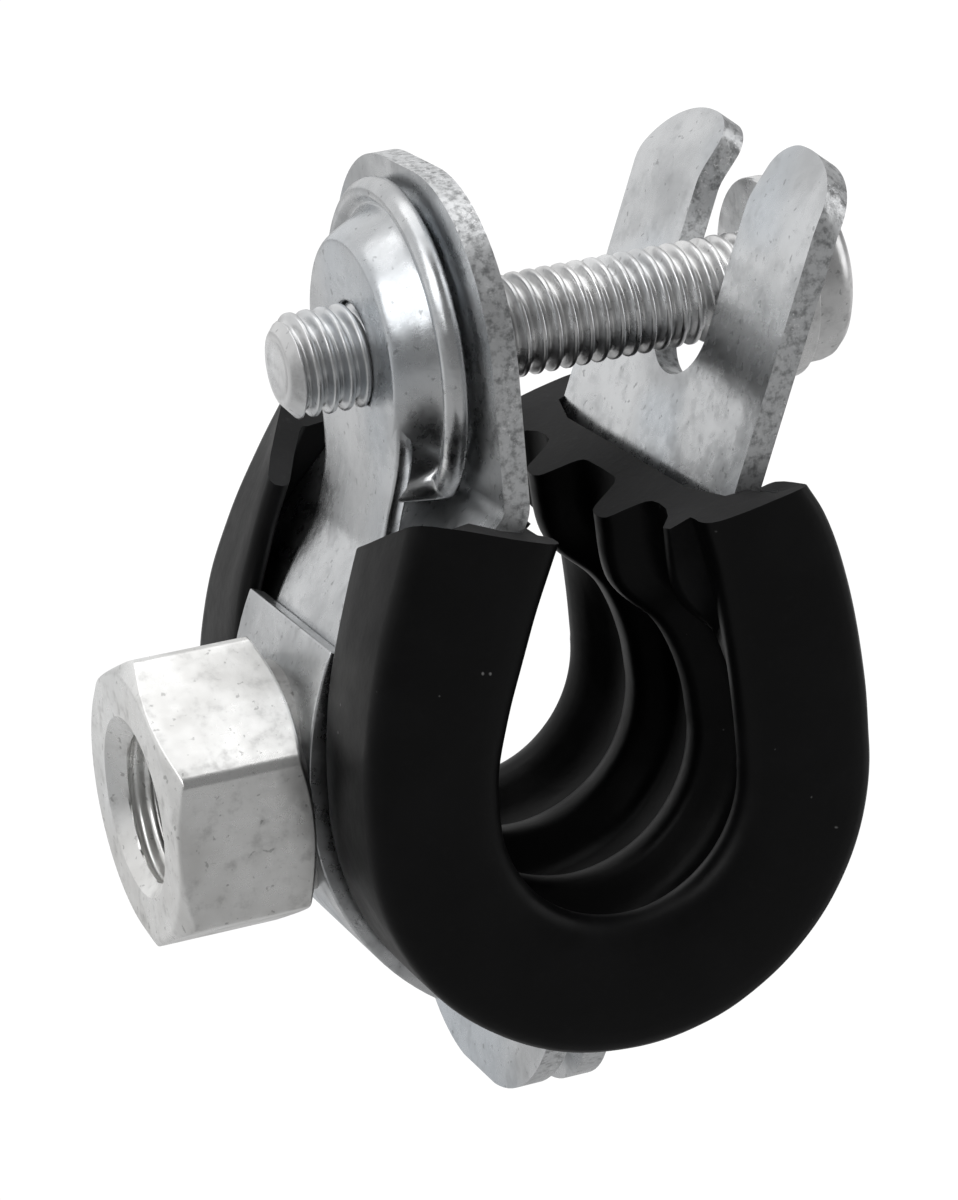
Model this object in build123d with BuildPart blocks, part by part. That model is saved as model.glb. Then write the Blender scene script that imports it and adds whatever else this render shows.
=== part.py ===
"""Rubber-lined hinged pipe clamp with one locking screw, in millimetres.

The origin is the pipe axis, +Y runs along the pipe, +Z points up to the locking screw, and the M8
connection nut stands out along -X. The clamp stands part open, with the screw's head on the fork.
"""

import os
from math import cos, radians, sin, tan

from build123d import *

# Bands: two strips of sheet steel bent round the pipe.
SHEET = 1.25
BAND_WIDTH = 20.0
BAND_R = 10.8  # middle of the sheet, lower half of each band
FLANK_R = 15.0  # middle of the sheet, upper flank, tangent to the lower arc at z = 0
FLANK_X = FLANK_R - BAND_R  # centre of each flank arc, from the pipe axis
FLANK_TURN = 45.0  # degrees of flank on the fixed band
MOVING_TURN = 38.0  # degrees of flank on the moving band
BEND_R = 1.6

# Ear of the fixed band.
EAR_X = -3.4  # middle of the sheet
EAR_TOP_Z = 28.3
EAR_ROUND = 8.0
EAR_HOLE_R = 3.3

# Fork of the moving band.
FORK_LEAN = 22.7  # degrees from the vertical, away from the ear
FORK_X = 7.7  # middle of the sheet at FORK_Z
FORK_Z = 12.0
FLARE_LEAN = 40.0
FLARE_Z = 24.2
FORK_TOP_Z = 26.6
FORK_SLOT = 5.6
FORK_SLOT_Z = 18.1  # centre of the slot's round end
PRONG_OUTER_R = 4.8
PRONG_INNER_R = 2.0

# Hinge: a tongue of the moving band goes through a window in the fixed band and ends in a hook.
HINGE_X = -1.7
HINGE_Z = -11.9
FLANGE_X = -1.2  # middle of the fixed flange at HINGE_Z
FLANGE_LEAN = 4.5
FLANGE_FOOT_Z = -17.4
FLANGE_BEND_R = 0.8
HOOK_X = -2.95
HOOK_LEAN = 4.5
HOOK_FOOT_Z = -17.4
HOOK_TOP_Z = -12.95
FIXED_BAND_START = 258.0  # degrees, where each lower arc ends at the hinge
MOVING_BAND_START = -84.0
TONGUE_WIDTH = 8.0
WINDOW_WIDTH = 8.8
WINDOW_LONG = 4.4
WINDOW_HIGH = 3.6
WINDOW_X = -1.0
WINDOW_Z = -11.6
TAB_WIDTH = 19.0
TAB_ROUND = 8.5

# Locking screw, M5, and its washer.
SCREW_Z = 19.7
SCREW_R = 2.5
SCREW_TIP_X = -10.8
WASHER_X = 13.85
WASHER_R = 4.9
WASHER_T = 0.9
HEAD_R = 4.4
HEAD_T = 2.5
HEAD_GAP = 0.05  # between the head and the washer
HEAD_ROUND = 0.9
TIP_CHAMFER = 0.5
DRIVE_SLOT = 1.2
DRIVE_DEPTH = 1.3
WASHER_CLEAR = 0.1

# Screw plate: a domed plate with a neck that runs down under the nut bracket.
PLATE_T = 0.85
BRIM_R = 8.0
DOME_R = 7.0
CROWN_R = 5.4
BRIM_X = -5.15  # outer face of the brim
CROWN_X = -7.5  # outer face of the crown
THREAD_CLEAR = 0.05
NECK_WIDTH = 8.6
NECK_R = 11.9  # middle of the neck under the bracket
NECK_START = 183.0
NECK_TURN = 40.0
NECK_OVERLAP = 1.2  # how far the neck runs up behind the crown
BRIM_CUT_Z = 14.6  # below this the brim is cut away, clear of the band's bend

# Nut bracket and connection nut, M8.
BRACKET_T = 0.85
BRACKET_R = 13.2
BRACKET_WIDTH = 11.2
BRACKET_START = 234.0
BRACKET_TURN = 26.0
NUT_AF = 13.0
NUT_OUT_X = -19.95
NUT_IN_X = -13.2
NUT_TURN = 4.7
THREAD_HOLE_R = 3.4
COUNTERSINK_R = 4.4
NUT_CHAMFER = 0.7
WELD_R = 5.6
WELD_DEEP = 1.6
BEAD = 0.4
BEAD_ARC = 3.5
WELD_ANGLES = (184.0, 224.0)
WALL_START = 232.0
WALL_TURN = 17.0
WALL_R = 11.5
WALL_OVERLAP = 0.2  # how far the walls run into the web

# Rubber liner.
LINER_WIDTH = 25.0
LIP_R = 12.6
PAD_R = 7.7
RIM_R = 6.1
RIB_R = 6.7
RIB_WIDTH = 1.6
RIB_Y = 3.4
LIP_REACH = 6.4  # width of each outer lip
FIT_GAP = 0.04
FIXED_LIP_GROW = 13.0  # the lips run straighter up the flanks than the band does
MOVING_LIP_GROW = 18.0
FIXED_LIP_TURN = 35.0
MOVING_LIP_TURN = 24.9
FIXED_PAD_TURN = 38.0
MOVING_PAD_TURN = 40.5
PAD_TOP_Z = 12.4
PAD_END_T = 2.2
FIXED_PAD_KINK = (-5.9, 9.95)  # back of each pad at its band's bend
MOVING_PAD_KINK = (5.8, 10.2)
FIXED_PAD_END_X = -2.4
MOVING_PAD_END_X = 6.4
LIP_NOTCH = 9.0  # degrees by which the outer lips stop short of the hinge


def save(part, name):
    part.label = name
    export_step(part, f"parts/{name}.step")


def on_circle(radius, degrees, centre_x=0.0):
    return (centre_x + radius * cos(radians(degrees)), radius * sin(radians(degrees)))


def sheet_block(points, radii, width, thickness=SHEET):
    """A bent strip of sheet whose middle runs through points, with one radius per corner."""
    with BuildPart() as block:
        with BuildSketch(Plane.XZ):
            with BuildLine() as path:
                if len(points) > 2:
                    FilletPolyline(*points, radius=radii)
                else:
                    Line(*points)
            trace(path.wire(), thickness)
        extrude(amount=width / 2, both=True)
    return block.part


def half_shell(side, r_in, r_out, start, turn, low_y, high_y, grow=FLANK_X):
    """A curved wall of one half: the lower arc from start to the side, then the flank arc by turn.

    side is -1 for the fixed half and 1 for the moving half, angles are measured about +X, and
    grow is how much larger the flank's radius is than the lower arc's.
    """
    flank_x = -side * grow
    level = 180.0 if side < 0 else 0.0
    finish = level + side * turn
    with BuildPart() as wall:
        with BuildSketch(Plane.XZ.offset(-high_y)):
            with BuildLine():
                inner_low = CenterArc((0, 0), r_in, start, level - start)
                inner_flank = CenterArc((flank_x, 0), r_in + grow, level, finish - level)
                outer_low = CenterArc((0, 0), r_out, start, level - start)
                outer_flank = CenterArc((flank_x, 0), r_out + grow, level, finish - level)
                Line(inner_low @ 0, outer_low @ 0)
                Line(inner_flank @ 1, outer_flank @ 1)
            make_face()
        extrude(amount=high_y - low_y)
    return wall.part


def bent_strip(points, width):
    """A strip of sheet bent so tightly that its inner corners are sharp."""
    with BuildPart() as strip:
        with BuildSketch(Plane.XZ):
            for start, finish in zip(points, points[1:]):
                with BuildLine() as leg:
                    Line(start, finish)
                trace(leg.wire(), SHEET)
            with Locations(*points[1:-1]):
                Circle(SHEET / 2)
        extrude(amount=width / 2, both=True)
    return strip.part


def screw_disc(radius, start_x, length, hole=0.0):
    """A disc or ring on the screw axis."""
    with BuildPart() as disc:
        with BuildSketch(Plane.YZ.offset(start_x)):
            with Locations((0, SCREW_Z)):
                Circle(radius)
                if hole:
                    Circle(hole, mode=Mode.SUBTRACT)
        extrude(amount=length)
    return disc.part


def flank_point(side, radius, turn):
    """A point of a flank arc in the XZ plane."""
    return on_circle(radius + FLANK_X, (180 if side < 0 else 0) + side * turn, -side * FLANK_X)


def lean_across(degrees):
    """The direction through a sheet that leans over by an angle from upright."""
    return (cos(radians(degrees)), 0, -sin(radians(degrees)))


def line_meet(point, degrees, other_x, other_z, other_tan):
    """Where the line through point at an angle meets x = other_x + (z - other_z) * other_tan."""
    run, rise = cos(radians(degrees)), sin(radians(degrees))
    step = (other_x + (point[1] - other_z) * other_tan - point[0]) / (run - rise * other_tan)
    return (point[0] + step * run, point[1] + step * rise)


os.makedirs("parts", exist_ok=True)
HALF_WIDTH = BAND_WIDTH / 2
BAND_IN = BAND_R - SHEET / 2
BAND_OUT = BAND_R + SHEET / 2

# Fixed band: ring arc, flank, ear and hinge flange.
flank_top = on_circle(FLANK_R, 180 - FLANK_TURN, FLANK_X)
ear_corner = line_meet(flank_top, 90 - FLANK_TURN, EAR_X, 0, 0)
with BuildPart() as ear:
    add(sheet_block([flank_top, ear_corner, (EAR_X, EAR_TOP_Z)], BEND_R, BAND_WIDTH))
    with BuildSketch(Plane.YZ.offset(EAR_X - 6)) as ear_outline:
        with BuildLine():
            Polyline((-HALF_WIDTH, 0), (HALF_WIDTH, 0), (HALF_WIDTH, EAR_TOP_Z),
                     (-HALF_WIDTH, EAR_TOP_Z), close=True)
        make_face()
        fillet(ear_outline.vertices().group_by(Axis.Y)[-1], EAR_ROUND)
    extrude(amount=12, mode=Mode.INTERSECT)

flange_foot = (FLANGE_X + (HINGE_Z - FLANGE_FOOT_Z) * tan(radians(FLANGE_LEAN)), FLANGE_FOOT_Z)
ring_end = on_circle(BAND_R, FIXED_BAND_START)
with BuildPart() as flange:
    add(sheet_block([ring_end, (FLANGE_X, ring_end[1] - 0.2), flange_foot], FLANGE_BEND_R, TAB_WIDTH))
    with BuildSketch(Plane.YZ.offset(FLANGE_X - 6)) as flange_outline:
        with BuildLine():
            Polyline((-HALF_WIDTH, 0), (HALF_WIDTH, 0), (TAB_WIDTH / 2, FLANGE_FOOT_Z),
                     (-TAB_WIDTH / 2, FLANGE_FOOT_Z), close=True)
        make_face()
        fillet(flange_outline.vertices().group_by(Axis.Y)[0], TAB_ROUND)
    extrude(amount=12, mode=Mode.INTERSECT)

with BuildPart() as fixed_band:
    add(half_shell(-1, BAND_IN, BAND_OUT, FIXED_BAND_START, FLANK_TURN, -HALF_WIDTH, HALF_WIDTH))
    add(ear.part)
    add(flange.part)
    add(screw_disc(EAR_HOLE_R, EAR_X - 2, 4), mode=Mode.SUBTRACT)
    with Locations((WINDOW_X, 0, WINDOW_Z)):
        Box(WINDOW_LONG, WINDOW_WIDTH, WINDOW_HIGH, mode=Mode.SUBTRACT)
save(fixed_band.part, "fixed_band")

# Moving band: ring arc, flank, fork, tongue and hook.
fork_tan = tan(radians(FORK_LEAN))
flare_x = FORK_X + (FLARE_Z - FORK_Z) * fork_tan
tip_z = FORK_TOP_Z + 2 * SHEET
fork_tip = (flare_x + (tip_z - FLARE_Z) * tan(radians(FLARE_LEAN)), tip_z)
fork_middle = flare_x + (FORK_TOP_Z - FLARE_Z) * tan(radians(FLARE_LEAN))
mouth_z = FLARE_Z - (fork_middle - flare_x) * tan(radians(FLARE_LEAN))
fork_foot = on_circle(FLANK_R, MOVING_TURN, -FLANK_X)
fork_corner = line_meet(fork_foot, 90 + MOVING_TURN, FORK_X, FORK_Z, fork_tan)
slot_x = FORK_X + (FORK_SLOT_Z - FORK_Z) * fork_tan
with BuildPart() as fork:
    add(sheet_block([fork_foot, fork_corner, (flare_x, FLARE_Z), fork_tip], [1.2, 3.0], BAND_WIDTH))
    with BuildSketch(Plane.YZ.offset(fork_middle)) as fork_outline:
        with BuildLine():
            Polyline((-HALF_WIDTH, 0), (HALF_WIDTH, 0), (HALF_WIDTH, FORK_TOP_Z),
                     (-HALF_WIDTH, FORK_TOP_Z), close=True)
        make_face()
        with Locations((0, FORK_TOP_Z)):
            Rectangle(FORK_SLOT, 2 * (FORK_TOP_Z - mouth_z), mode=Mode.SUBTRACT)
        tip_corners = fork_outline.vertices().group_by(Axis.Y)[-1]
        fillet([corner for corner in tip_corners if abs(corner.X) > FORK_SLOT], PRONG_OUTER_R)
        tip_corners = fork_outline.vertices().group_by(Axis.Y)[-1]
        fillet([corner for corner in tip_corners if abs(corner.X) < FORK_SLOT / 2 + 0.1], PRONG_INNER_R)
    extrude(amount=14, dir=lean_across(FLARE_LEAN), both=True, mode=Mode.INTERSECT)
    with BuildSketch(Plane.YZ.offset(slot_x)):
        with Locations((0, FORK_SLOT_Z)):
            Circle(FORK_SLOT / 2)
        with Locations((0, FORK_SLOT_Z + 5)):
            Rectangle(FORK_SLOT, 10)
    extrude(amount=8, dir=lean_across(FORK_LEAN), both=True, mode=Mode.SUBTRACT)

hook_foot = (HOOK_X - (HINGE_Z - HOOK_FOOT_Z) * tan(radians(HOOK_LEAN)), HOOK_FOOT_Z)
with BuildPart() as hook:
    add(sheet_block([(HOOK_X, HOOK_TOP_Z), hook_foot], 0, TAB_WIDTH))
    with BuildSketch(Plane.YZ.offset(HOOK_X - 6)) as hook_outline:
        with BuildLine():
            Polyline((-TAB_WIDTH / 2, 0), (TAB_WIDTH / 2, 0), (TAB_WIDTH / 2, HOOK_FOOT_Z),
                     (-TAB_WIDTH / 2, HOOK_FOOT_Z), close=True)
        make_face()
        fillet(hook_outline.vertices().group_by(Axis.Y)[0], TAB_ROUND)
    extrude(amount=12, mode=Mode.INTERSECT)

tongue_start = on_circle(BAND_R, MOVING_BAND_START)
with BuildPart() as moving_band:
    add(half_shell(1, BAND_IN, BAND_OUT, MOVING_BAND_START, MOVING_TURN, -HALF_WIDTH, HALF_WIDTH))
    add(fork.part)
    add(hook.part)
    add(bent_strip([on_circle(BAND_R, MOVING_BAND_START + 3), tongue_start, (HINGE_X, HINGE_Z),
                    (HOOK_X, HINGE_Z - 0.55), (HOOK_X, HOOK_TOP_Z - 0.5)], TONGUE_WIDTH))
save(moving_band.part, "moving_band")

# Nut bracket: a shallow channel that bridges the screw plate's neck, with its walls on the band.
with BuildPart() as nut_bracket:
    bracket_in = BRACKET_R - BRACKET_T
    half_bracket = BRACKET_WIDTH / 2
    add(half_shell(-1, bracket_in, BRACKET_R, BRACKET_START, BRACKET_TURN, -half_bracket, half_bracket))
    for wall_y in (-half_bracket, half_bracket - BRACKET_T):
        add(half_shell(-1, WALL_R, bracket_in + WALL_OVERLAP, WALL_START, WALL_TURN,
                       wall_y, wall_y + BRACKET_T))
save(nut_bracket.part, "nut_bracket")

# Connection nut, M8, chamfered at both ends, with its thread as a plain bore.
with BuildPart() as nut_envelope:
    with BuildSketch(Plane.YZ.offset(NUT_OUT_X)):
        Circle(NUT_AF / 2 / cos(radians(30)))
    extrude(amount=NUT_IN_X - NUT_OUT_X)
    chamfer(nut_envelope.edges().filter_by(GeomType.CIRCLE), length=NUT_CHAMFER, length2=NUT_CHAMFER)
with BuildPart() as connection_nut:
    with BuildSketch(Plane.YZ.offset(NUT_OUT_X)):
        RegularPolygon(NUT_AF / 2, 6, major_radius=False, rotation=30 + NUT_TURN)
        Circle(THREAD_HOLE_R, mode=Mode.SUBTRACT)
    extrude(amount=NUT_IN_X - NUT_OUT_X)
    add(nut_envelope.part, mode=Mode.INTERSECT)
    chamfer(connection_nut.edges().filter_by(GeomType.CIRCLE).filter_by(
        lambda edge: abs(edge.radius - THREAD_HOLE_R) < 0.01).group_by(Axis.X)[0],
        length=COUNTERSINK_R - THREAD_HOLE_R)
save(connection_nut.part, "connection_nut")

# Weld that fills the gap between the flat nut and the curved bracket.
with BuildPart() as nut_weld:
    with BuildSketch(Plane.YZ.offset(NUT_IN_X)):
        Circle(WELD_R)
    extrude(amount=WELD_DEEP)
    under_weld = half_shell(-1, BAND_IN, BRACKET_R, BRACKET_START, BRACKET_TURN, -WELD_R, WELD_R)
    add(under_weld, mode=Mode.SUBTRACT)
save(nut_weld.part, "nut_weld")

# Spot welds that hold the bracket's walls on the band.
with BuildPart() as bracket_welds:
    bead_out = BAND_OUT + BEAD
    for weld_angle in WELD_ANGLES:
        for weld_y in (-half_bracket - BEAD, half_bracket):
            with BuildSketch(Plane.XZ.offset(-weld_y)):
                first, last = weld_angle - BEAD_ARC, weld_angle + BEAD_ARC
                with BuildLine():
                    Polyline(on_circle(BAND_OUT, first), on_circle(bead_out, first),
                             on_circle(bead_out, last), on_circle(BAND_OUT, last), close=True)
                make_face()
            extrude(amount=-BEAD)
    add(fixed_band.part, mode=Mode.SUBTRACT)
save(bracket_welds.part, "bracket_welds")

# Screw plate: brim, cone and crown turned about the screw axis, with the neck below.
screw_axis = Axis((0, 0, SCREW_Z), (1, 0, 0))
thread_r = SCREW_R + THREAD_CLEAR
neck_top = (CROWN_X + PLATE_T / 2, SCREW_Z - CROWN_R + NECK_OVERLAP)
neck_bend = (FLANK_X - (NECK_R + FLANK_X) * cos(radians(NECK_TURN)),
             (NECK_R + FLANK_X) * sin(radians(NECK_TURN)))
with BuildPart() as neck:
    add(half_shell(-1, NECK_R - PLATE_T / 2, NECK_R + PLATE_T / 2, NECK_START, NECK_TURN,
                   -NECK_WIDTH / 2, NECK_WIDTH / 2))
    with BuildSketch(Plane.XZ):
        with BuildLine() as neck_path:
            Line(neck_top, neck_bend)
        trace(neck_path.wire(), PLATE_T)
        with Locations(neck_bend):
            Circle(PLATE_T / 2)
    extrude(amount=NECK_WIDTH / 2, both=True)
with BuildPart() as screw_plate:
    with BuildSketch(Plane.XZ):
        with BuildLine():
            Polyline((BRIM_X, SCREW_Z + BRIM_R), (BRIM_X, SCREW_Z + DOME_R),
                     (CROWN_X, SCREW_Z + CROWN_R), (CROWN_X, SCREW_Z + thread_r),
                     (CROWN_X + PLATE_T, SCREW_Z + thread_r),
                     (CROWN_X + PLATE_T, SCREW_Z + CROWN_R - PLATE_T / 2),
                     (BRIM_X + PLATE_T, SCREW_Z + DOME_R - PLATE_T / 2),
                     (BRIM_X + PLATE_T, SCREW_Z + BRIM_R), close=True)
        make_face()
    revolve(axis=screw_axis)
    with Locations((BRIM_X, 0, BRIM_CUT_Z - BRIM_R)):
        Box(4 * PLATE_T, 4 * BRIM_R, 2 * BRIM_R, mode=Mode.SUBTRACT)
    add(neck.part)
save(screw_plate.part, "screw_plate")

# Locking screw and its washer.
head_x = WASHER_X + WASHER_T + HEAD_GAP
with BuildPart() as locking_screw:
    add(screw_disc(SCREW_R, SCREW_TIP_X, head_x + HEAD_T / 2 - SCREW_TIP_X))
    chamfer(locking_screw.edges().filter_by(GeomType.CIRCLE).group_by(Axis.X)[0], TIP_CHAMFER)
    add(screw_disc(HEAD_R, head_x, HEAD_T))
    fillet(locking_screw.edges().filter_by(GeomType.CIRCLE).group_by(Axis.X)[-1], HEAD_ROUND)
    with Locations((head_x + HEAD_T, 0, SCREW_Z)):
        Box(2 * DRIVE_DEPTH, DRIVE_SLOT, 3 * HEAD_R, mode=Mode.SUBTRACT)
save(locking_screw.part, "locking_screw")
save(screw_disc(WASHER_R, WASHER_X, WASHER_T, SCREW_R + WASHER_CLEAR), "washer")


def liner(side, start, pad_turn, lip_turn, lip_grow, kink, end_x):
    """Rubber channel of one half: pad and two ribs inside the band, and lips that wrap its edges.

    kink is the pad's back at the band's bend, and end_x where it stops on its way up.
    """
    rim_y = LINER_WIDTH / 2
    pad_out = BAND_IN - FIT_GAP
    with BuildPart() as rubber:
        pad_y = HALF_WIDTH + FIT_GAP
        add(half_shell(side, PAD_R, pad_out, start, pad_turn, -pad_y, pad_y))
        for near_y, far_y, r_in, r_out, first, turn, grow in (
            (pad_y, rim_y, RIM_R, LIP_R, start, lip_turn, lip_grow),
            (rim_y - LIP_REACH, rim_y, BAND_OUT + FIT_GAP, LIP_R, start + side * LIP_NOTCH,
             lip_turn, lip_grow),
            (RIB_Y - RIB_WIDTH / 2, RIB_Y + RIB_WIDTH / 2, RIB_R, PAD_R + 0.5, start, pad_turn, FLANK_X),
        ):
            for low_y, high_y in ((near_y, far_y), (-far_y, -near_y)):
                add(half_shell(side, r_in, r_out, first, turn, low_y, high_y, grow))
        with BuildSketch(Plane.XZ):
            with BuildLine():
                Polyline(flank_point(side, PAD_R, pad_turn), flank_point(side, pad_out, pad_turn), kink,
                         (end_x, PAD_TOP_Z), (end_x - side * PAD_END_T, PAD_TOP_Z), close=True)
            make_face()
        extrude(amount=pad_y, both=True)
    return rubber.part


save(liner(-1, FIXED_BAND_START, FIXED_PAD_TURN, FIXED_LIP_TURN, FIXED_LIP_GROW,
           FIXED_PAD_KINK, FIXED_PAD_END_X), "liner_fixed")
save(liner(1, MOVING_BAND_START, MOVING_PAD_TURN, MOVING_LIP_TURN, MOVING_LIP_GROW,
           MOVING_PAD_KINK, MOVING_PAD_END_X), "liner_moving")
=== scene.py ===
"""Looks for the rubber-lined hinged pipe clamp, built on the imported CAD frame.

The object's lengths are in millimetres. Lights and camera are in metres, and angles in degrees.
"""
import bmesh
import bpy
import math
from mathutils import Matrix, Vector, noise


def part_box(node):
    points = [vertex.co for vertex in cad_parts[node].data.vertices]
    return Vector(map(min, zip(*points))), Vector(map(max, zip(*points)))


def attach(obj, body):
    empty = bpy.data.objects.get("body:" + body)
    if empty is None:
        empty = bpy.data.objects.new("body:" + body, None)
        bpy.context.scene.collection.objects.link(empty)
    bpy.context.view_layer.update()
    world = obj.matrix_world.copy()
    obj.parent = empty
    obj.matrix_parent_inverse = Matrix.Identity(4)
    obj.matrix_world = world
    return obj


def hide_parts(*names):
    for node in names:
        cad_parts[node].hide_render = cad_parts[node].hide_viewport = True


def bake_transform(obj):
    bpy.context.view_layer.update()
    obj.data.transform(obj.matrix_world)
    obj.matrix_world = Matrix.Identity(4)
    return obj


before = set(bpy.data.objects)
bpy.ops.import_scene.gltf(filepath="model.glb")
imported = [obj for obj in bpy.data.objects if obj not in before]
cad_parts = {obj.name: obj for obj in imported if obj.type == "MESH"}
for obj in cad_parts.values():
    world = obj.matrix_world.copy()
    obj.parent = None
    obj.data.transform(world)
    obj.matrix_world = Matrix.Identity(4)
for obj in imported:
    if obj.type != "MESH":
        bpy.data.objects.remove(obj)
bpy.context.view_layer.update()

MM = 0.001


def node_span(node, axis):
    """A CAD node's lowest and highest coordinate along an axis, in millimetres."""
    low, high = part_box(node)
    return round(low[axis] / MM, 3), round(high[axis] / MM, 3)


NUT_OUT_X, NUT_IN_X = node_span("connection_nut", 0)
SCREW_TIP_X, HEAD_OUT_X = node_span("locking_screw", 0)
SCREW_Z = sum(node_span("locking_screw", 2)) / 2


# ---------------------------------------------------------------- mesh helpers
def new_object(name, points, faces, smooth=True, material=None):
    """A mesh object from points in millimetres."""
    mesh = bpy.data.meshes.new(name)
    mesh.from_pydata([(x * MM, y * MM, z * MM) for x, y, z in points], [], faces)
    mesh.update()
    thing = bpy.data.objects.new(name, mesh)
    bpy.context.scene.collection.objects.link(thing)
    if smooth:
        for face in mesh.polygons:
            face.use_smooth = True
    if material:
        mesh.materials.append(material)
    return thing


def face_out(thing):
    """Turns every face of a closed mesh outwards."""
    work = bmesh.new()
    work.from_mesh(thing.data)
    bmesh.ops.recalc_face_normals(work, faces=work.faces)
    work.to_mesh(thing.data)
    work.free()


def sharp_by_angle(thing, degrees):
    """Marks edges sharper than an angle, so that smooth shading stops there."""
    work = bmesh.new()
    work.from_mesh(thing.data)
    limit = math.radians(degrees)
    for edge in work.edges:
        if len(edge.link_faces) == 2 and edge.calc_face_angle(0.0) > limit:
            edge.smooth = False
    work.to_mesh(thing.data)
    work.free()


def grid_faces(rows, columns, close_columns=False, close_rows=False):
    """Quads over points stored row by row."""
    faces = []
    for i in range(rows if close_rows else rows - 1):
        for j in range(columns if close_columns else columns - 1):
            a, b = i * columns + j, i * columns + (j + 1) % columns
            c, d = ((i + 1) % rows) * columns + (j + 1) % columns, ((i + 1) % rows) * columns + j
            faces.append((a, b, c, d))
    return faces


def ring_points(x, radius_at, around, height=0.0):
    """Points round an axis along X, where the radius is a number or depends on the angle in radians."""
    points = []
    for k in range(around):
        angle = 2 * math.pi * k / around
        radius = radius_at(angle) if callable(radius_at) else radius_at
        points.append((x, radius * math.cos(angle), height + radius * math.sin(angle)))
    return points


def skin(name, rings, material=None, close_rows=False):
    """A mesh object over closed rings of points, with its faces turned outwards."""
    points = [point for ring in rings for point in ring]
    faces = grid_faces(len(rings), len(rings[0]), True, close_rows)
    thing = new_object(name, points, faces, material=material)
    face_out(thing)
    return thing


def smooth_step(low, high, value):
    """0 below low, 1 above high, and a smooth rise between them. With low above high it falls."""
    share = min(1.0, max(0.0, (value - low) / (high - low)))
    return share * share * (3 - 2 * share)


def spline(points, share):
    """A Catmull-Rom curve through points, by share of the whole from 0 to 1."""
    spans = len(points) - 1
    place = min(spans - 1e-9, max(0.0, share * spans))
    i = int(place)
    t = place - i
    p1, p2 = points[i], points[i + 1]
    p0 = points[i - 1] if i else tuple(2 * a - b for a, b in zip(p1, p2))
    p3 = points[i + 2] if i + 2 <= spans else tuple(2 * b - a for a, b in zip(p1, p2))
    return tuple(
        0.5 * (2 * b + (c - a) * t + (2 * a - 5 * b + 4 * c - d) * t * t + (3 * b - a - 3 * c + d) * t ** 3)
        for a, b, c, d in zip(p0, p1, p2, p3))


# ---------------------------------------------------------------- materials
class Maker:
    """Short calls for building one material's nodes."""

    def __init__(self, name):
        self.material = bpy.data.materials.new(name)
        self.material.use_nodes = True
        self.tree = self.material.node_tree
        self.shader = self.tree.nodes["Principled BSDF"]
        self.place = self.node("ShaderNodeTexCoord").outputs["Object"]

    def node(self, kind, **settings):
        made = self.tree.nodes.new(kind)
        for key, value in settings.items():
            setattr(made, key, value)
        return made

    def link(self, a, b):
        self.tree.links.new(a, b)

    def feed(self, value, socket):
        """Links a socket, or sets a plain number or colour."""
        if isinstance(value, bpy.types.NodeSocket):
            self.link(value, socket)
        else:
            socket.default_value = value

    def noise(self, scale, detail=3.0, rough=0.5, stretch=None):
        """Noise over the object, with a scale per metre."""
        made = self.node("ShaderNodeTexNoise")
        made.inputs["Scale"].default_value = scale
        made.inputs["Detail"].default_value = detail
        made.inputs["Roughness"].default_value = rough
        source = self.place
        if stretch:
            mapping = self.node("ShaderNodeMapping")
            mapping.inputs["Scale"].default_value = stretch
            self.link(source, mapping.inputs["Vector"])
            source = mapping.outputs["Vector"]
        self.link(source, made.inputs["Vector"])
        return made.outputs["Fac"]

    def ramp(self, value, low, high, out_low=0.0, out_high=1.0):
        """A smooth step of a value between two levels."""
        made = self.node("ShaderNodeMapRange", interpolation_type="SMOOTHSTEP")
        made.inputs["From Min"].default_value = low
        made.inputs["From Max"].default_value = high
        made.inputs["To Min"].default_value = out_low
        made.inputs["To Max"].default_value = out_high
        self.link(value, made.inputs["Value"])
        return made.outputs["Result"]

    def mix(self, share, a, b):
        """A colour between a and b, each a colour or a socket."""
        made = self.node("ShaderNodeMix", data_type="RGBA")
        self.link(share, made.inputs["Factor"])
        for value, socket in ((a, made.inputs[6]), (b, made.inputs[7])):
            self.feed((*value, 1.0) if isinstance(value, tuple) else value, socket)
        return made.outputs[2]

    def math(self, operation, a, b=0.0):
        made = self.node("ShaderNodeMath", operation=operation)
        self.feed(a, made.inputs[0])
        self.feed(b, made.inputs[1])
        return made.outputs[0]

    def bump(self, *layers):
        """Stacked bumps, each (height, distance in metres, strength)."""
        last = None
        for height, distance, strength in layers:
            made = self.node("ShaderNodeBump")
            made.inputs["Distance"].default_value = distance
            made.inputs["Strength"].default_value = strength
            self.link(height, made.inputs["Height"])
            if last:
                self.link(last, made.inputs["Normal"])
            last = made.outputs["Normal"]
        self.link(last, self.shader.inputs["Normal"])


def sheared_edge(m, sheet_normal, above):
    """A mask of a sheet's sheared edges: its side edges, and its rim above a height."""
    normal = m.node("ShaderNodeTexCoord").outputs["Normal"]
    split = m.node("ShaderNodeSeparateXYZ")
    m.link(normal, split.inputs[0])
    across = m.ramp(m.math("ABSOLUTE", split.outputs["Y"]), 0.55, 0.85)
    facing = m.node("ShaderNodeVectorMath", operation="DOT_PRODUCT")
    m.link(normal, facing.inputs[0])
    facing.inputs[1].default_value = sheet_normal
    place = m.node("ShaderNodeSeparateXYZ")
    m.link(m.place, place.inputs[0])
    rim = m.ramp(m.math("ABSOLUTE", facing.outputs["Value"]), 0.25, 0.6, 1.0, 0.0)
    rim = m.math("MULTIPLY", rim, m.ramp(place.outputs["Z"], above * MM, (above + 1) * MM))
    return m.math("MAXIMUM", across, rim)


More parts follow.
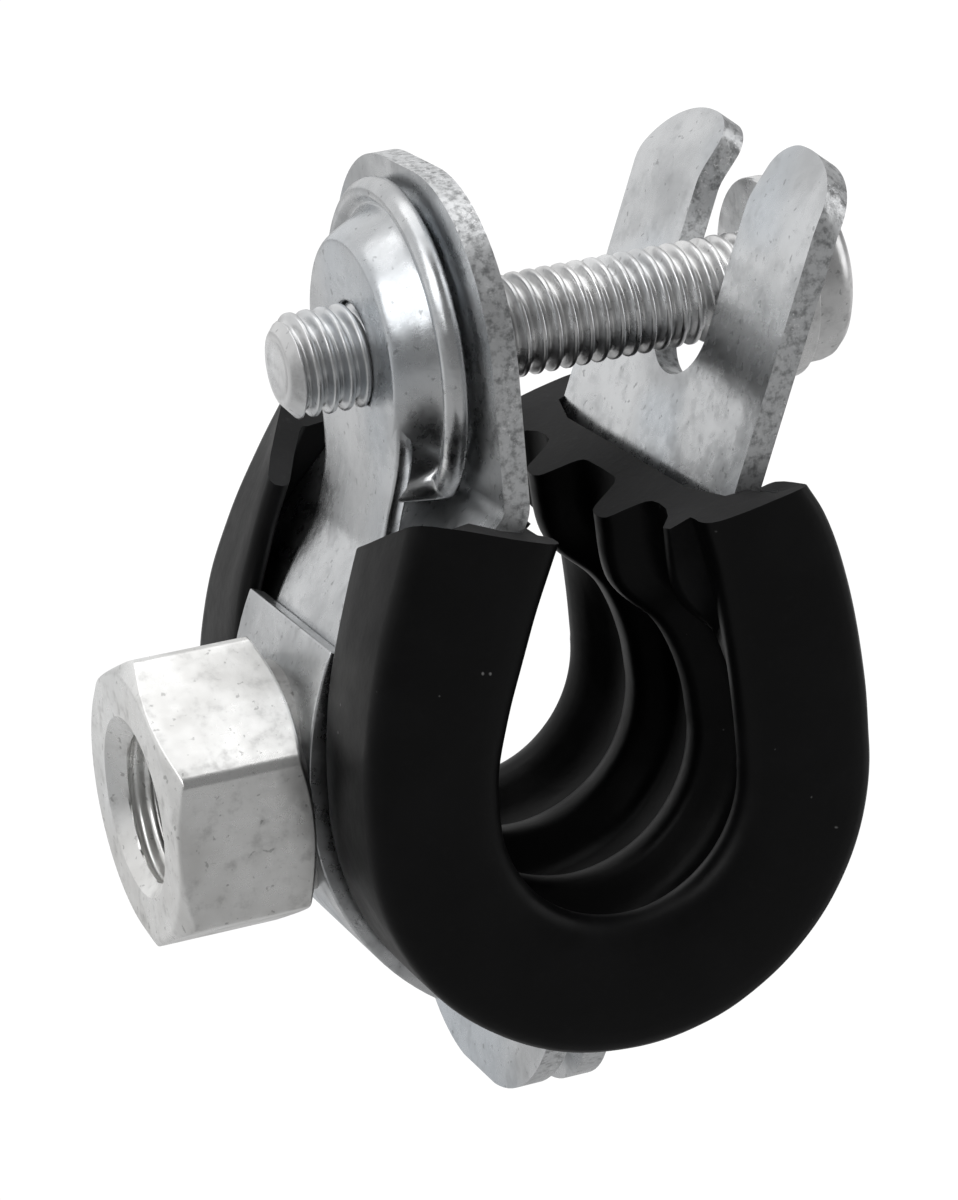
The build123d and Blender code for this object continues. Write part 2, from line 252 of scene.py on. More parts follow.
def zinc(name, base, stain, rough, grain=None, tint=0.5, mottle=0.25, sheet=None):
    """Bright zinc plate with soft stains, specks, fine grain and, on sheet, torn sheared edges."""
    m = Maker(name)
    m.shader.inputs["Metallic"].default_value = 1.0
    cloud = m.noise(160.0, 4.0, 0.6)
    small = m.noise(900.0, 4.0, 0.65)
    fine = m.noise(5200.0, 3.0, 0.6)
    speck = m.ramp(m.noise(2600.0, 2.0, 0.5), 0.66, 0.73)
    colour = m.mix(m.ramp(cloud, 0.36, 0.66), base, stain)
    cool = tuple(a * b for a, b in zip(base, (0.88, 0.95, 1.02)))
    cool_patch = m.ramp(m.noise(90.0, 2.0, 0.5), 0.48, 0.7)
    dark = tuple(c * 0.62 for c in stain)
    colour = m.mix(m.math("MULTIPLY", cool_patch, tint), colour, cool)
    colour = m.mix(m.math("MULTIPLY", m.ramp(small, 0.5, 0.75), mottle), colour, dark)
    colour = m.mix(m.math("MULTIPLY", speck, 0.45), colour, tuple(c * 0.3 for c in stain))
    fine_rough = m.ramp(small, 0.3, 0.75, rough, rough + 0.12)
    roughness = m.math("ADD", fine_rough, m.ramp(cloud, 0.35, 0.7, 0.0, 0.07))
    layers = [(cloud, 0.00022, 0.35), (small, 0.00003, 0.35), (fine, 0.000006, 0.35)]
    if grain:
        layers.append((m.noise(700.0, 3.0, 0.6, grain), 0.00001, 0.35))
    if sheet:
        edge = sheared_edge(m, *sheet)
        torn = m.noise(2300.0, 4.0, 0.65)
        patch = m.ramp(m.noise(210.0, 2.0, 0.5), 0.45, 0.6)
        spark = m.ramp(m.noise(4200.0, 3.0, 0.7), 0.58, 0.64)
        glint = m.math("MULTIPLY", spark, m.ramp(patch, 0.0, 1.0, 0.25, 1.0))
        edge_colour = m.mix(m.ramp(torn, 0.42, 0.7), tuple(c * 1.08 for c in base), dark)
        edge_colour = m.mix(glint, edge_colour, (0.97, 0.97, 0.98))
        colour = m.mix(edge, colour, edge_colour)
        roughness = m.math("ADD", roughness, m.math("MULTIPLY", edge, 0.12))
        layers.append((m.math("MULTIPLY", m.math("MULTIPLY", torn, edge), patch), 0.00010, 0.9))
    m.link(colour, m.shader.inputs["Base Color"])
    m.link(roughness, m.shader.inputs["Roughness"])
    m.bump(*layers)
    return m.material


def rubber(name, base, worn, rough, gloss, grit):
    """Matte black extruded rubber with faint bloom, scuffs and dust specks."""
    m = Maker(name)
    m.shader.inputs["Specular IOR Level"].default_value = gloss
    cloud = m.noise(230.0, 4.0, 0.6)
    small = m.noise(1900.0, 4.0, 0.7)
    dust = m.ramp(m.noise(1400.0, 1.0, 0.4), 0.80, 0.84)
    scuff = m.noise(650.0, 3.0, 0.6, (1.0, 0.25, 1.0))
    colour = m.mix(m.ramp(cloud, 0.4, 0.72), base, worn)
    colour = m.mix(m.math("MULTIPLY", m.ramp(small, 0.55, 0.8), 0.35), colour, tuple(c * 1.9 for c in worn))
    colour = m.mix(m.math("MULTIPLY", dust, 0.7), colour, (0.4, 0.4, 0.4))
    m.link(colour, m.shader.inputs["Base Color"])
    m.link(m.ramp(cloud, 0.3, 0.75, rough - 0.05, rough + 0.1), m.shader.inputs["Roughness"])
    m.bump((cloud, 0.0004, 0.18), (scuff, 0.00004, 0.25), (small, grit, 0.5))
    return m.material


EAR_NORMAL, EAR_ABOVE = (1.0, 0.0, 0.0), 13.0
FORK_LEAN = math.radians(22.7)
FORK_NORMAL, FORK_ABOVE = (math.cos(FORK_LEAN), 0.0, -math.sin(FORK_LEAN)), 11.0
SHEET_BASE, SHEET_STAIN = (0.70, 0.71, 0.72), (0.50, 0.51, 0.52)
steel_fixed = zinc("plated_sheet_fixed", SHEET_BASE, SHEET_STAIN, 0.22, (1.0, 0.2, 1.0), 0.7, 0.3,
                   (EAR_NORMAL, EAR_ABOVE))
steel_moving = zinc("plated_sheet_moving", SHEET_BASE, SHEET_STAIN, 0.20, (1.0, 0.2, 1.0), 0.7, 0.3,
                    (FORK_NORMAL, FORK_ABOVE))
steel_bracket = zinc("plated_bracket", SHEET_BASE, SHEET_STAIN, 0.22, (1.0, 0.2, 1.0), 1.0, 0.45)
# The nut's and screw's base colours are lighter than the sheet's: painted light, the same zinc plate made
# lighter to stand in for the stronger light they catch.
steel_nut = zinc("plated_nut", (0.93, 0.93, 0.92), (0.74, 0.735, 0.72), 0.24, (0.15, 1.0, 1.0), 0.2, 0.5)
steel_plate = zinc("plated_pressing", (0.70, 0.71, 0.72), (0.52, 0.53, 0.54), 0.19, None, 0.4, 0.25)
steel_screw = zinc("plated_screw", (0.90, 0.90, 0.90), (0.66, 0.66, 0.66), 0.23, None, 0.3, 0.55)
weld_steel = zinc("weld_metal", (0.50, 0.50, 0.49), (0.28, 0.275, 0.27), 0.36, None, 0.2, 0.9)
black_rubber = rubber("liner_rubber", (0.0022, 0.0022, 0.0024), (0.0042, 0.0042, 0.0046),
                      0.42, 0.16, 0.000014)
cut_rubber = rubber("liner_rubber_cut", (0.022, 0.022, 0.0225), (0.034, 0.034, 0.035), 0.75, 0.2, 0.00006)


# ---------------------------------------------------------------- CAD nodes that stay
def finish_cad(node, material, edge):
    """A CAD node keeps its shape, and gets its material and small rounded edges."""
    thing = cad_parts[node]
    thing.data.materials.clear()
    thing.data.materials.append(material)
    for face in thing.data.polygons:
        face.use_smooth = True
    weld = thing.modifiers.new("weld", "WELD")
    weld.merge_threshold = 1e-6
    bevel = thing.modifiers.new("edges", "BEVEL")
    bevel.width = edge * MM
    bevel.segments = 3
    bevel.limit_method = "ANGLE"
    bevel.angle_limit = math.radians(28)
    bevel.harden_normals = False
    normals = thing.modifiers.new("shading", "WEIGHTED_NORMAL")
    normals.keep_sharp = False


finish_cad("fixed_band", steel_fixed, 0.16)
finish_cad("moving_band", steel_moving, 0.16)
finish_cad("nut_bracket", steel_bracket, 0.2)
finish_cad("nut_weld", weld_steel, 0.12)
finish_cad("bracket_welds", weld_steel, 0.1)
finish_cad("washer", steel_screw, 0.12)


# ---------------------------------------------------------------- connection nut
NUT_LENGTH = NUT_IN_X - NUT_OUT_X
NUT_FLAT, NUT_TURN = 6.5, 4.7  # half the width across flats, and the turn about the bore
NUT_CORNER_CUT, NUT_CORNER_WEAR, NUT_EDGE_BLEND, NUT_FACE_DROP = 0.10, 0.05, 0.16, 0.04
NUT_CHAMFER_R, NUT_CHAMFER_X, NUT_CHAMFER_RISE = 6.35, 0.62, 1.25
NUT_FACE_R = 5.4  # a middle ring of each end face
NUT_CREST, NUT_ROOT, NUT_MOUTH, NUT_PITCH = 3.4, 3.98, 4.35, 1.25
NUT_AROUND = 360


def nut_radius(x, angle):
    """The nut's outer radius: a hexagon with worn corners, inside the chamfer cone at each end."""
    phase = ((math.degrees(angle) - NUT_TURN + 30.0) % 60.0) - 30.0
    corner = NUT_FLAT / math.cos(math.radians(30)) - NUT_CORNER_CUT
    hexagon = min(NUT_FLAT / math.cos(math.radians(phase)), corner)
    hexagon -= NUT_CORNER_WEAR * smooth_step(24, 30, abs(phase))
    near = min(x, NUT_LENGTH - x)
    if near >= NUT_CHAMFER_X * 1.6:
        return hexagon
    cone = NUT_CHAMFER_R + (near / NUT_CHAMFER_X) * NUT_CHAMFER_RISE
    share = max(0.0, NUT_EDGE_BLEND - abs(hexagon - cone)) / NUT_EDGE_BLEND
    radius = min(hexagon, cone) - share * share * NUT_EDGE_BLEND * 0.25
    return min(radius, NUT_CHAMFER_R) - NUT_FACE_DROP if near == 0 else radius


def nut_bore_radius(x, angle):
    """The bore's radius: a helical thread that runs out into a countersink at each end."""
    phase = (x / NUT_PITCH - angle / (2 * math.pi)) % 1.0
    thread = NUT_CREST + (NUT_ROOT - NUT_CREST) * smooth_step(0.12, 0.86, abs(2 * phase - 1))
    countersink = max(0.0, NUT_MOUTH - NUT_CREST - min(x, NUT_LENGTH - x) * 1.1)
    return max(thread, NUT_CREST + countersink)


def hexagon_nut():
    """The nut as one closed skin: outside, inner end face, threaded bore, outer end face."""
    ends = [NUT_CHAMFER_X * k / 14 for k in range(15)]
    middle = [NUT_CHAMFER_X + (NUT_LENGTH - 2 * NUT_CHAMFER_X) * k / 10 for k in range(1, 10)]
    outside = ends + middle + [NUT_LENGTH - x for x in reversed(ends)]
    steps = int(NUT_LENGTH / NUT_PITCH * 14)
    bore = [NUT_LENGTH - NUT_LENGTH * k / steps for k in range(steps + 1)]
    face = (NUT_CHAMFER_R - 0.25, NUT_FACE_R)
    inner_face = (*face, NUT_MOUTH + 0.1, NUT_MOUTH)
    outer_face = (NUT_MOUTH + 0.06, NUT_MOUTH + 0.25, *face[::-1])

    rings = [ring_points(NUT_OUT_X + x, lambda a: nut_radius(x, a), NUT_AROUND) for x in outside]
    rings += [ring_points(NUT_OUT_X + NUT_LENGTH, r, NUT_AROUND) for r in inner_face]
    rings += [ring_points(NUT_OUT_X + x, lambda a: nut_bore_radius(x, a), NUT_AROUND) for x in bore]
    rings += [ring_points(NUT_OUT_X, r, NUT_AROUND) for r in outer_face]
    nut = skin("nut_body", rings, steel_nut, close_rows=True)
    sharp_by_angle(nut, 42)
    return nut


nut = hexagon_nut()
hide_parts("connection_nut")
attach(nut, "fixed_half")


# ---------------------------------------------------------------- locking screw
SCREW_MAJOR, SCREW_MINOR, SCREW_PITCH = 2.48, 2.02, 0.8
SHANK_END_X, THREAD_END_X = 14.9, 13.6
TIP_R, TIP_TAPER = 1.72, 1.15
HEAD_R, HEAD_T, HEAD_AROUND = 4.4, 2.5, 144
DRIVE_WIDTH, DRIVE_DEPTH, DRIVE_REACH = 1.2, 1.3, 6.0


def screw_radius(x, angle):
    """The shank's radius: a rolled thread, plain under the head and tapered at the tip."""
    phase = (x / SCREW_PITCH - angle / (2 * math.pi)) % 1.0
    ridge = smooth_step(0.14, 0.82, 1 - abs(2 * phase - 1))
    radius = SCREW_MAJOR if x > THREAD_END_X else SCREW_MINOR + (SCREW_MAJOR - SCREW_MINOR) * ridge
    return min(radius, TIP_R + (x - SCREW_TIP_X) * TIP_TAPER)


def thread_piece():
    """The threaded shank, from the middle of its tip to inside the head."""
    around = 96
    length = SHANK_END_X - SCREW_TIP_X
    steps = int(length / SCREW_PITCH * 16)
    rings = [ring_points(SCREW_TIP_X + 0.10, r, around, SCREW_Z) for r in (0.02, 0.7, 1.2)]
    rings += [ring_points(SCREW_TIP_X, r, around, SCREW_Z) for r in (1.35, 1.62)]
    for k in range(1, steps + 1):
        x = SCREW_TIP_X + length * k / steps
        rings.append(ring_points(x, lambda a: screw_radius(x, a), around, SCREW_Z))
    return skin("screw_thread", rings, steel_screw)


def drive_slot(head):
    """Cuts the straight slot across the head."""
    corners = [(x, y, z) for x in (HEAD_OUT_X - DRIVE_DEPTH, HEAD_OUT_X + 1)
               for y in (-DRIVE_WIDTH / 2, DRIVE_WIDTH / 2)
               for z in (SCREW_Z - DRIVE_REACH, SCREW_Z + DRIVE_REACH)]
    sides = [(0, 1, 3, 2), (4, 6, 7, 5), (0, 4, 5, 1), (2, 3, 7, 6), (0, 2, 6, 4), (1, 5, 7, 3)]
    cutter = new_object("slot_cutter", corners, sides, False)
    face_out(cutter)
    cut = head.modifiers.new("slot", "BOOLEAN")
    cut.operation = "DIFFERENCE"
    cut.object = cutter
    cut.solver = "EXACT"
    bpy.context.view_layer.update()
    baked = bpy.data.meshes.new_from_object(head.evaluated_get(bpy.context.evaluated_depsgraph_get()))
    head.modifiers.clear()
    head.data = baked
    bpy.data.objects.remove(cutter)


def head_piece():
    """A turned cheese head with a sawn slot."""
    under = HEAD_OUT_X - HEAD_T
    profile = [(under, 2.3), (under, 4.2), (under + 0.06, 4.34), (under + 0.18, HEAD_R),
               (under + 1.3, HEAD_R - 0.03), (under + 1.65, HEAD_R - 0.12), (under + 2.0, HEAD_R - 0.42),
               (under + 2.3, HEAD_R - 0.95), (HEAD_OUT_X - 0.05, HEAD_R - 1.7), (HEAD_OUT_X, HEAD_R - 2.6),
               (HEAD_OUT_X, 1.0), (HEAD_OUT_X, 0.02)]
    points = [point for x, r in profile for point in ring_points(x, r, HEAD_AROUND, SCREW_Z)]
    faces = grid_faces(len(profile), HEAD_AROUND, True)
    head = new_object("screw_head", points, faces, material=steel_screw)
    work = bmesh.new()
    work.from_mesh(head.data)
    bmesh.ops.holes_fill(work, edges=[e for e in work.edges if len(e.link_faces) == 1])
    bmesh.ops.recalc_face_normals(work, faces=work.faces)
    work.to_mesh(head.data)
    work.free()
    drive_slot(head)
    sharp_by_angle(head, 35)
    return head


thread, head = thread_piece(), head_piece()
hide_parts("locking_screw")
for piece in (thread, head):
    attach(piece, "screw")


# ---------------------------------------------------------------- screw plate
PLATE_T, CROWN_X, BRIM_R = 0.85, -7.15, 8.0
NECK_R, NECK_CENTRE_X = 16.525, 4.2  # outer face of the neck along the band's flank
NECK_FALL = [(-7.06, 17.6), (-7.15, 16.6), (-7.22, 15.4), (-7.4, 14.1), (-7.7, 12.9), (-8.02, 11.8),
             (-8.32, 10.95)]
NECK_HALF_WIDTH, NECK_STEPS = 4.3, 110
DOME_AROUND, DOME_FLOOR_Z = 288, 13.6  # the brim is cut level at this height, above the neck's bend
NECK_FLANK = [(NECK_CENTRE_X + NECK_R * math.cos(math.radians(142 + 4 * k)),
               NECK_R * math.sin(math.radians(142 + 4 * k))) for k in range(10)]


def neck_level(z):
    """The neck's outer face x at a height above its bend."""
    for (x_high, high), (x_low, low) in zip(NECK_FALL, NECK_FALL[1:]):
        if z >= low:
            share = min(1.0, (high - z) / (high - low))
            return x_high + (x_low - x_high) * max(0.0, share)
    return NECK_FALL[-1][0]


def plate_face(y, z):
    """The pressing's outer face x at a point: half-round brim, crease, steep wall, crown and neck."""
    radius = math.hypot(y, z - SCREW_Z)
    wall = CROWN_X + 2.15 * smooth_step(5.35, 6.95, radius)
    ridge = 0.5 * smooth_step(6.75, 7.3, radius) * (1 - 0.5 * smooth_step(7.5, BRIM_R, radius))
    dish = 0.10 * smooth_step(4.2, 2.6, radius)
    dome = wall - ridge + dish
    behind = neck_level(z) + 0.15 * smooth_step(17.0, 15.6, z)
    below = smooth_step(SCREW_Z - 2.5, SCREW_Z - 4.8, z)
    side = smooth_step(5.3, 4.2, abs(y))
    return dome + (behind - dome) * below * side


def dome_ring(radius, back):
    """One ring of the dome, at a depth behind its outer face."""
    ring = []
    for k in range(DOME_AROUND):
        angle = 2 * math.pi * k / DOME_AROUND
        down = -math.sin(angle)
        reach = min(BRIM_R, (SCREW_Z - DOME_FLOOR_Z) / down) if down > 0.2 else BRIM_R
        r = min(radius, radius * reach / BRIM_R if radius > 4.6 else radius)
        y, z = r * math.cos(angle), SCREW_Z + r * math.sin(angle)
        ring.append((plate_face(y, z) + back, y, z))
    return ring


def dome_piece():
    """The pressed dome round the screw: outer face, rounded rim, then the inner face."""
    radii = [2.56, 2.6, 2.75, 3.1, 3.6, 4.1, 4.5] + [4.7 + 0.1 * k for k in range(29)] + [7.6, 7.7]
    rim = [(7.86, 0.06), (7.95, 0.17), (BRIM_R, 0.34), (BRIM_R, PLATE_T - 0.3), (7.94, PLATE_T - 0.1),
           (7.8, PLATE_T)]
    rings = [dome_ring(radii[0], 0.12)] + [dome_ring(r, 0.0) for r in radii[1:]]
    rings += [dome_ring(r, back) for r, back in rim]
    rings += [dome_ring(r, PLATE_T) for r in reversed(radii)]
    return skin("plate_dome", rings, steel_plate, close_rows=True)


def neck_piece():
    """The sprung strip below the crown, down the band and under the nut's bracket."""
    path = NECK_FALL + NECK_FLANK
    across = [-1, -0.985, -0.95, -0.9, -0.6, 0, 0.6, 0.9, 0.95, 0.985, 1]
    roll = [0.18, 0.06, 0.01, 0, 0, 0, 0, 0, 0.01, 0.06, 0.18]  # how far each edge rounds off
    rings = []
    for k in range(NECK_STEPS + 1):
        share = k / NECK_STEPS
        x, z = spline(path, share)
        x1, z1 = spline(path, max(0.0, share - 0.002))
        x2, z2 = spline(path, min(1.0, share + 0.002))
        run, rise = x2 - x1, z2 - z1
        size = math.hypot(run, rise)
        nx, nz = -rise / size, run / size
        wide = NECK_HALF_WIDTH * (1.0 + 0.20 * smooth_step(12.8, 16.8, z))
        outer = [(x + nx * r, a * wide, z + nz * r) for a, r in zip(across, roll)]
        inner = [(x + nx * (PLATE_T - r), a * wide, z + nz * (PLATE_T - r)) for a, r in zip(across, roll)]
        rings.append(outer + inner[::-1])
    columns = len(rings[0])
    last = (len(rings) - 1) * columns
    faces = grid_faces(len(rings), columns, True)
    faces += [tuple(range(columns)), tuple(reversed(range(last, last + columns)))]
    neck = new_object("plate_neck", [point for ring in rings for point in ring], faces, material=steel_plate)
    face_out(neck)
    sharp_by_angle(neck, 50)
    return neck


dome, neck = dome_piece(), neck_piece()
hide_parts("screw_plate")
for piece in (dome, neck):
    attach(piece, "fixed_half")


# ---------------------------------------------------------------- rubber lining
LEFT_IN = [(-6.1, 0.0), (-5.95, 2.4), (-5.35, 4.7), (-4.55, 6.9), (-3.3, 10.0), (-2.1, 12.6)]
LEFT_OUT = [(-12.6, 0.0), (-12.5, 3.1), (-12.0, 6.3), (-11.15, 9.4), (-10.1, 12.4), (-9.1, 15.2)]
RIGHT_IN = [(6.1, 0.0), (6.05, 2.6), (5.9, 5.1), (5.65, 7.6), (5.35, 10.0), (4.9, 12.2)]
RIGHT_OUT = [(12.6, 0.0), (12.6, 3.0), (12.3, 6.2), (11.75, 9.2), (11.0, 11.6), (10.1, 13.3)]
LEFT_PAD = [(-10.13, 0.0), (-9.93, 2.4), (-9.33, 4.7), (-8.3, 7.0), (-6.3, 9.75), (-3.05, 12.6)]
RIGHT_PAD = [(10.13, 0.0), (9.93, 2.4), (9.33, 4.8), (8.35, 6.9), (6.5, 9.2), (6.2, 12.5)]
RIM_IN, LIP_OUT, PAD_BACK, PAD_FACE = 6.06, 12.6, 10.13, 8.7
HALF_LENGTH = 12.5
LIP_BASE = 10.9  # beyond this radius the profile is a lip over the band's edge
LIP_DROP, LIP_WIDTH, LIP_FLARE = 0.20, 6.4, 0.12
BORE_LEAN_X, BORE_LEAN_Z = 0.046, -0.026  # how the soft bore leans, per mm along the pipe
LEFT_END_LEAN, RIGHT_END_LEAN = 26, 24
RIB_HEIGHT = 2.26
RIB_TRIM = 1.1  # how much lower the fixed half's ribs get towards its end, to leave room when it closes
REAR_TIP_SHIFT = 2.6  # how far the fixed half's rear tip curls in
WAVE, WAVE_SCALE = 0.05, 0.35
END_STEPS, ARC_STEPS = 44, 60
HINGE_SHARE = 0.34  # the hinge strip's share of each quarter of the ring
HALF_PROFILE = [  # (y, radius) round half of the section: pad, rib, rim, lip and the groove for the band
    (0.0, 8.72), (1.5, 8.7), (1.95, 8.62), (2.25, 8.4), (2.5, 8.0), (2.85, 7.3), (3.1, 6.82), (3.3, 6.6),
    (3.6, 6.48), (4.1, 6.44), (4.55, 6.5), (4.85, 6.64), (5.02, 6.9), (5.25, 7.4), (5.6, 8.05), (5.85, 8.4),
    (6.2, 8.62), (6.8, 8.7), (7.7, 8.64), (8.5, 8.35), (9.2, 7.7), (9.8, 6.85), (10.3, 6.3), (10.8, 6.06),
    (11.3, 6.04), (11.7, 6.16), (12.0, 6.42), (12.22, 6.85), (12.36, 7.5), (12.46, 8.4), (12.5, 9.4),
    (12.49, 10.4), (12.44, 11.3), (12.34, 11.9), (12.14, 12.3), (11.85, 12.52), (11.4, 12.6), (9.5, 12.6),
    (8.0, 12.6), (6.7, 12.58), (6.35, 12.48), (6.15, 12.25), (6.12, 11.9), (6.25, 11.62), (6.6, 11.52),
    (8.2, 11.5), (9.8, 11.5), (10.06, 11.42), (10.1, 11.2), (10.1, 10.4), (10.02, 10.2), (9.8, 10.13),
    (7.0, 10.13), (3.5, 10.13)]


def lining_point(t, y, radius):
    """A point of the lining: t runs from -2 at the fixed half's end, over 0 at the hinge, to 2."""
    inward = min(1.0, max(0.0, (PAD_BACK - radius) / (PAD_BACK - RIM_IN)))
    lean_x, lean_z = (rate * (y + HALF_LENGTH) * inward for rate in (BORE_LEAN_X, BORE_LEAN_Z))
    if abs(t) <= 1:
        angle = math.radians(270 + 90 * t)
        return radius * math.cos(angle) + lean_x, radius * math.sin(angle) + lean_z
    fixed, is_lip = t < 0, radius > LIP_BASE
    share = abs(t) - 1
    if is_lip:
        share *= 1 - LIP_DROP * smooth_step(0.2, 1.0, share) * (HALF_LENGTH - abs(y)) / LIP_WIDTH
    inner, outer, pad = (LEFT_IN, LEFT_OUT, LEFT_PAD) if fixed else (RIGHT_IN, RIGHT_OUT, RIGHT_PAD)
    side = -1 if fixed else 1
    a, b, c = spline(inner, share), spline(outer, share), spline(pad, share)
    level = (radius - RIM_IN) / (LIP_OUT - RIM_IN)
    wall = (a[0] + (b[0] - a[0]) * level, a[1] + (b[1] - a[1]) * level)
    end_lean = math.radians((LEFT_END_LEAN if fixed else RIGHT_END_LEAN) * smooth_step(0.0, 0.8, share))
    depth = PAD_BACK - radius
    if fixed and radius < PAD_FACE:
        depth -= RIB_TRIM * smooth_step(0.5, 0.75, share) * (PAD_FACE - radius) / RIB_HEIGHT
    back = (c[0] - side * depth * math.cos(end_lean), c[1] - depth * math.sin(end_lean))
    weight = 1.0 if is_lip else smooth_step(9.3, 10.5, abs(y))
    x, z = (p + (q - p) * weight for p, q in zip(back, wall))
    if fixed and y > 0:
        x += REAR_TIP_SHIFT * share * share * smooth_step(4.0, HALF_LENGTH, y)
    fade = 1 - smooth_step(0.5, 1.0, share)
    return x + lean_x * fade, z + lean_z * fade


def lining_row(t, profile):
    """One section of the lining, with the slight waves of soft rubber and lips that flare at the ends."""
    row = []
    for y, radius in profile:
        x, z = lining_point(t, y, radius)
        wave = WAVE * noise.noise(Vector((x * WAVE_SCALE, y * WAVE_SCALE + 7, z * WAVE_SCALE)))
        flare = LIP_FLARE * max(0.0, abs(t) - 1.3) if radius > LIP_BASE else 0.0
        waved_y = max(-HALF_LENGTH, min(HALF_LENGTH, y + wave * 0.6))
        row.append((x * (1 + wave * 0.05 + flare * 0.03), waved_y, z + wave * 0.5))
    return row


def close_end(work, rim_start, next_row, columns):
    """Caps a cut end with its own corner points, in the cut rubber's material."""
    work.verts.ensure_lookup_table()
    rim = [work.verts[rim_start + k] for k in range(columns)]
    outward = rim[0].co - work.verts[next_row].co
    cap = work.faces.new([work.verts.new(v.co) for v in rim])
    cap.material_index = 1
    cap.smooth = False
    cap.normal_update()
    if cap.normal.dot(outward) < 0:
        cap.normal_flip()
    bmesh.ops.triangulate(work, faces=[cap])


def lining_part(name, rows, first, last, normals):
    """The stretch of the lining between two rows, shaded by the whole strip's normals."""
    columns = len(rows[0])
    points = [point for row in rows[first:last + 1] for point in row]
    piece = new_object(name, points, grid_faces(last - first + 1, columns, True), material=black_rubber)
    piece.data.materials.append(cut_rubber)
    own = normals[first * columns:(last + 1) * columns]
    work = bmesh.new()
    work.from_mesh(piece.data)
    work.verts.ensure_lookup_table()
    work.faces.ensure_lookup_table()
    sample = work.faces[len(work.faces) // 2]
    if sample.normal.dot(own[sample.verts[0].index]) < 0:
        bmesh.ops.reverse_faces(work, faces=work.faces)
    last_row = columns * (last - first)
    if first == 0:
        close_end(work, 0, columns, columns)
    if last == len(rows) - 1:
        close_end(work, last_row, last_row - columns, columns)
    work.to_mesh(piece.data)
    work.free()
    cap_points = len(piece.data.vertices) - len(own)
    piece.data.normals_split_custom_set_from_vertices(
        [tuple(n) for n in own] + [(0.0, 0.0, 0.0)] * cap_points)
    return piece


def lining():
    """One extruded strip, swept round the ring and cut across at both ends, in three pieces."""
    profile = HALF_PROFILE + [(-y, r) for y, r in reversed(HALF_PROFILE[1:])]
    stations = [-2 + k / END_STEPS for k in range(END_STEPS)]
    stations += [-1 + k / ARC_STEPS for k in range(2 * ARC_STEPS)]
    stations += [1 + k / END_STEPS for k in range(END_STEPS + 1)]
    rows = [lining_row(t, profile) for t in stations]
    whole = skin("lining_whole", rows)
    normals = [v.normal.copy() for v in whole.data.vertices]
    bpy.data.objects.remove(whole)
    hinge = [i for i, t in enumerate(stations) if abs(t) <= HINGE_SHARE]
    return (lining_part("lining_fixed", rows, 0, hinge[0], normals),
            lining_part("lining_hinge", rows, hinge[0], hinge[-1], normals),
            lining_part("lining_moving", rows, hinge[-1], len(rows) - 1, normals))


lining_fixed, lining_hinge, lining_moving = lining()
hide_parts("liner_fixed")
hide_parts("liner_moving")
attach(lining_fixed, "fixed_half")
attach(lining_moving, "moving_half")
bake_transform(lining_hinge)


# ---------------------------------------------------------------- stage, light and camera
def card(name, centre, width, height, power, target=(0, 0, 0.005)):
    """A soft area light that faces a point near the bore."""
    data = bpy.data.lights.new(name, "AREA")
    data.shape = "RECTANGLE"
    data.size, data.size_y = width, height
    data.energy = power
    lamp = bpy.data.objects.new(name, data)
    lamp.location = centre
    lamp.rotation_mode = "QUATERNION"
    lamp.rotation_quaternion = (Vector(target) - Vector(centre)).to_track_quat("-Z", "Y")
    bpy.context.scene.collection.objects.link(lamp)


def floor():
    """A pale floor, white to the camera, and for the part's reflections darker in front than behind."""
    size, height = 4000.0, -70.0
    corners = [(x * size, y * size, height) for x, y in ((-1, -1), (1, -1), (1, 1), (-1, 1))]
    ground = new_object("floor", corners, [(0, 1, 2, 3)], False)
    m = Maker("floor_paint")
    place = m.node("ShaderNodeSeparateXYZ")
    m.link(m.place, place.inputs[0])
    behind = m.ramp(place.outputs["Y"], -0.15, 0.35)
    cloud = m.mix(m.ramp(m.noise(6.0, 2.0, 0.5), 0.3, 0.7), (0.93, 0.93, 0.93), (0.95, 0.95, 0.95))
    in_front = m.ramp(behind, 0.0, 1.0, 0.62, 0.0)
    m.link(m.mix(in_front, cloud, (0.12, 0.12, 0.12)), m.shader.inputs["Base Color"])
    m.shader.inputs["Roughness"].default_value = 0.8
    glow = m.node("ShaderNodeEmission")
    m.link(cloud, glow.inputs["Color"])
    glow.inputs["Strength"].default_value = 1.12
    to_camera = m.node("ShaderNodeMixShader")
    m.link(m.node("ShaderNodeLightPath").outputs["Is Camera Ray"], to_camera.inputs["Fac"])
    m.link(m.shader.outputs["BSDF"], to_camera.inputs[1])
    m.link(glow.outputs["Emission"], to_camera.inputs[2])
    m.link(to_camera.outputs["Shader"], m.tree.nodes["Material Output"].inputs["Surface"])
    ground.data.materials.append(m.material)


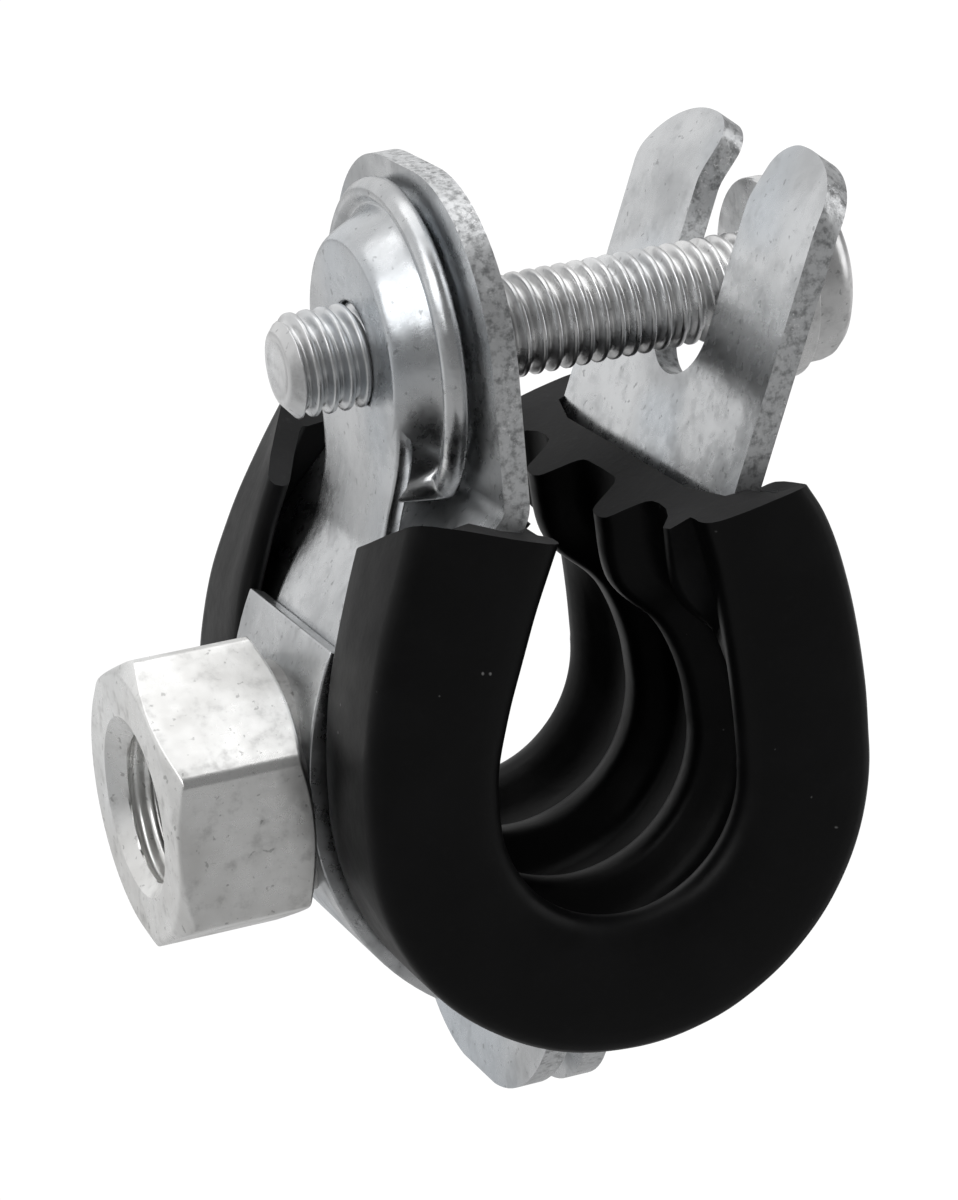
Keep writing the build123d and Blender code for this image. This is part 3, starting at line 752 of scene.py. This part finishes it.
def studio():
    """Room light that is bright behind the part on its left and dim elsewhere."""
    world = bpy.data.worlds.new("studio")
    world.use_nodes = True
    tree = world.node_tree
    direction = tree.nodes.new("ShaderNodeTexCoord").outputs["Generated"]
    facing = tree.nodes.new("ShaderNodeVectorMath")
    facing.operation = "DOT_PRODUCT"
    facing.inputs[1].default_value = (-0.46, 0.85, 0.1)
    tree.links.new(direction, facing.inputs[0])
    level = tree.nodes.new("ShaderNodeMapRange")
    level.interpolation_type = "SMOOTHSTEP"
    for name, value in (("From Min", -0.2), ("From Max", 0.85), ("To Min", 0.2), ("To Max", 0.85)):
        level.inputs[name].default_value = value
    tree.links.new(facing.outputs["Value"], level.inputs["Value"])
    tree.nodes["Background"].inputs["Color"].default_value = (1.0, 1.0, 1.0, 1.0)
    tree.links.new(level.outputs["Result"], tree.nodes["Background"].inputs["Strength"])
    bpy.context.scene.world = world


def add_camera(azimuth, elevation, roll, target, distance, lens):
    """A camera that looks at a target along an azimuth from +Y and an elevation, then rolled."""
    az, el, tilt = map(math.radians, (azimuth, elevation, roll))
    forward = Vector((math.sin(az) * math.cos(el), math.cos(az) * math.cos(el), -math.sin(el)))
    right = Vector((math.cos(az), -math.sin(az), 0.0))
    up = right.cross(forward)
    rolled_right = math.cos(tilt) * right + math.sin(tilt) * up
    rolled_up = -math.sin(tilt) * right + math.cos(tilt) * up
    data = bpy.data.cameras.new("camera")
    data.lens = lens
    data.sensor_width = 36.0
    data.clip_start, data.clip_end = 0.01, 20.0
    camera = bpy.data.objects.new("camera", data)
    turn = Matrix((rolled_right, rolled_up, -forward)).transposed().to_4x4()
    camera.matrix_world = Matrix.Translation(target - distance * forward) @ turn
    bpy.context.scene.collection.objects.link(camera)
    bpy.context.scene.camera = camera


floor()
studio()
bpy.context.scene.view_settings.view_transform = "Standard"
card("key", (-0.45, -0.30, 0.50), 0.5, 0.5, 1.5)
card("fill_right", (0.60, -0.15, 0.20), 0.4, 0.5, 0.7)
card("top", (0.0, 0.1, 0.8), 0.9, 0.7, 2.0, target=(0, 0, 0.0))
add_camera(azimuth=20.5, elevation=18.5, roll=-4.98, target=Vector((-0.00183, 0.00014, 0.00656)),
           distance=0.2196, lens=138.1)
